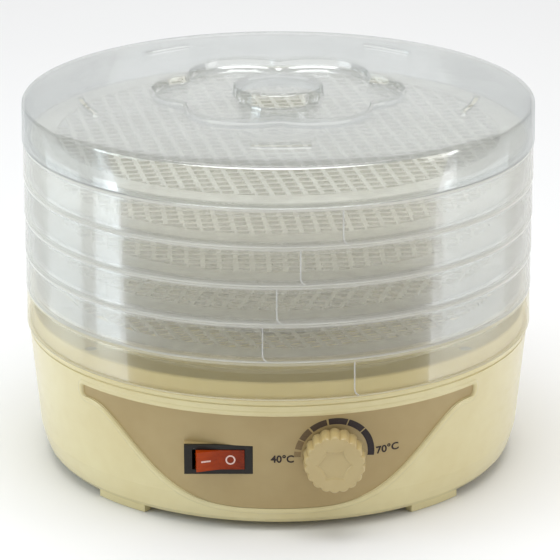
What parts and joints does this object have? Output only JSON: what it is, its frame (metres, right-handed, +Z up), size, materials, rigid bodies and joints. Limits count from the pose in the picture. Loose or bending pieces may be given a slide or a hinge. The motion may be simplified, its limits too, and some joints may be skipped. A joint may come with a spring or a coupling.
{
  "type": "food dehydrator",
  "caption": "Round electric food dehydrator: cream heater and fan base with a switch and a heat dial, clear stacking grille trays and a clear lid with a finger recess.",
  "frame": {"origin": "centre of the footprint, on the surface the feet stand on", "axes": "+Z up through the stack's axis, front panel towards -Y, +X to the right as seen from the front"},
  "size_m": [0.2424, 0.252, 0.1805],
  "materials": {
    "cream_plastic": "satin",
    "tan_plastic": "satin",
    "black_plastic": "satin",
    "rocker_plastic": "gloss",
    "knob_plastic": "satin",
    "clear_plastic": "clear",
    "brass_parts": "satin",
    "plated_steel": "satin",
    "stone_ceramic": "matte",
    "core_steel": "satin",
    "coil_wrap": "matte",
    "fan_plastic": "matte",
    "mica_board": "matte",
    "heater_wire": "satin"
  },
  "bodies": {
    "base": {"base_body": "cream_plastic", "bottom_cover": "cream_plastic", "base_deck": "cream_plastic", "air_grille": "cream_plastic", "control_panel": "tan_plastic", "switch_housing": "black_plastic", "terminal_block": "black_plastic", "switch_terminals": "brass_parts", "motor_bearing_low": "brass_parts", "motor_bearing_high": "brass_parts", "thermostat_nut": "plated_steel", "motor_bracket_low": "plated_steel", "motor_bracket_high": "plated_steel", "motor_screws": "plated_steel", "heat_shield": "plated_steel", "deck_screws": "plated_steel", "cover_screws": "plated_steel", "thermostat_body": "stone_ceramic", "motor_stator": "core_steel", "motor_coil": "coil_wrap", "heater_frame": "mica_board", "heater_coil": "heater_wire", "thermal_fuse": "brass_parts"},
    "fan": {"motor_rotor": "core_steel", "fan_impeller": "fan_plastic"},
    "rocker_switch": {"rocker": "rocker_plastic"},
    "dial": {"dial_knob": "knob_plastic", "thermostat_shaft": "plated_steel"},
    "tray_5": {"tray_5_wall": "clear_plastic", "tray_5_floor": "clear_plastic"},
    "tray_4": {"tray_4_wall": "clear_plastic", "tray_4_floor": "clear_plastic"},
    "tray_3": {"tray_3_wall": "clear_plastic", "tray_3_floor": "clear_plastic"},
    "tray_2": {"tray_2_wall": "clear_plastic", "tray_2_floor": "clear_plastic"},
    "tray_1": {"tray_1_wall": "clear_plastic", "tray_1_floor": "clear_plastic"},
    "lid_body": {"lid": "clear_plastic"}
  },
  "joints": [
    {"name": "fan_spin", "type": "hinge", "parent": "base", "child": "fan", "pos_m": [0, 0, 0.03], "axis": [0, 0, 1], "continuous": true},
    {"name": "rocker_tilt", "type": "hinge", "parent": "base", "child": "rocker_switch", "pos_m": [-0.0269, -0.1115, 0.0359], "axis": [0, 0, -1], "range_deg": [0, 18]},
    {"name": "dial_turn", "type": "hinge", "parent": "base", "child": "dial", "pos_m": [0.0253, -0.11, 0.0378], "axis": [0, 1, 0], "range_deg": [0, 180]},
    {"name": "tray_5_lift", "type": "slide", "parent": "base", "child": "tray_5", "axis": [0, 0, 1], "range_m": [0, 0.03]},
    {"name": "tray_4_lift", "type": "slide", "parent": "tray_5", "child": "tray_4", "axis": [0, 0, 1], "range_m": [0, 0.03]},
    {"name": "tray_3_lift", "type": "slide", "parent": "tray_4", "child": "tray_3", "axis": [0, 0, 1], "range_m": [0, 0.03]},
    {"name": "tray_2_lift", "type": "slide", "parent": "tray_3", "child": "tray_2", "axis": [0, 0, 1], "range_m": [0, 0.03]},
    {"name": "tray_1_lift", "type": "slide", "parent": "tray_2", "child": "tray_1", "axis": [0, 0, 1], "range_m": [0, 0.03]},
    {"name": "lid_lift", "type": "slide", "parent": "tray_1", "child": "lid_body", "axis": [0, 0, 1], "range_m": [0, 0.03]}
  ]
}
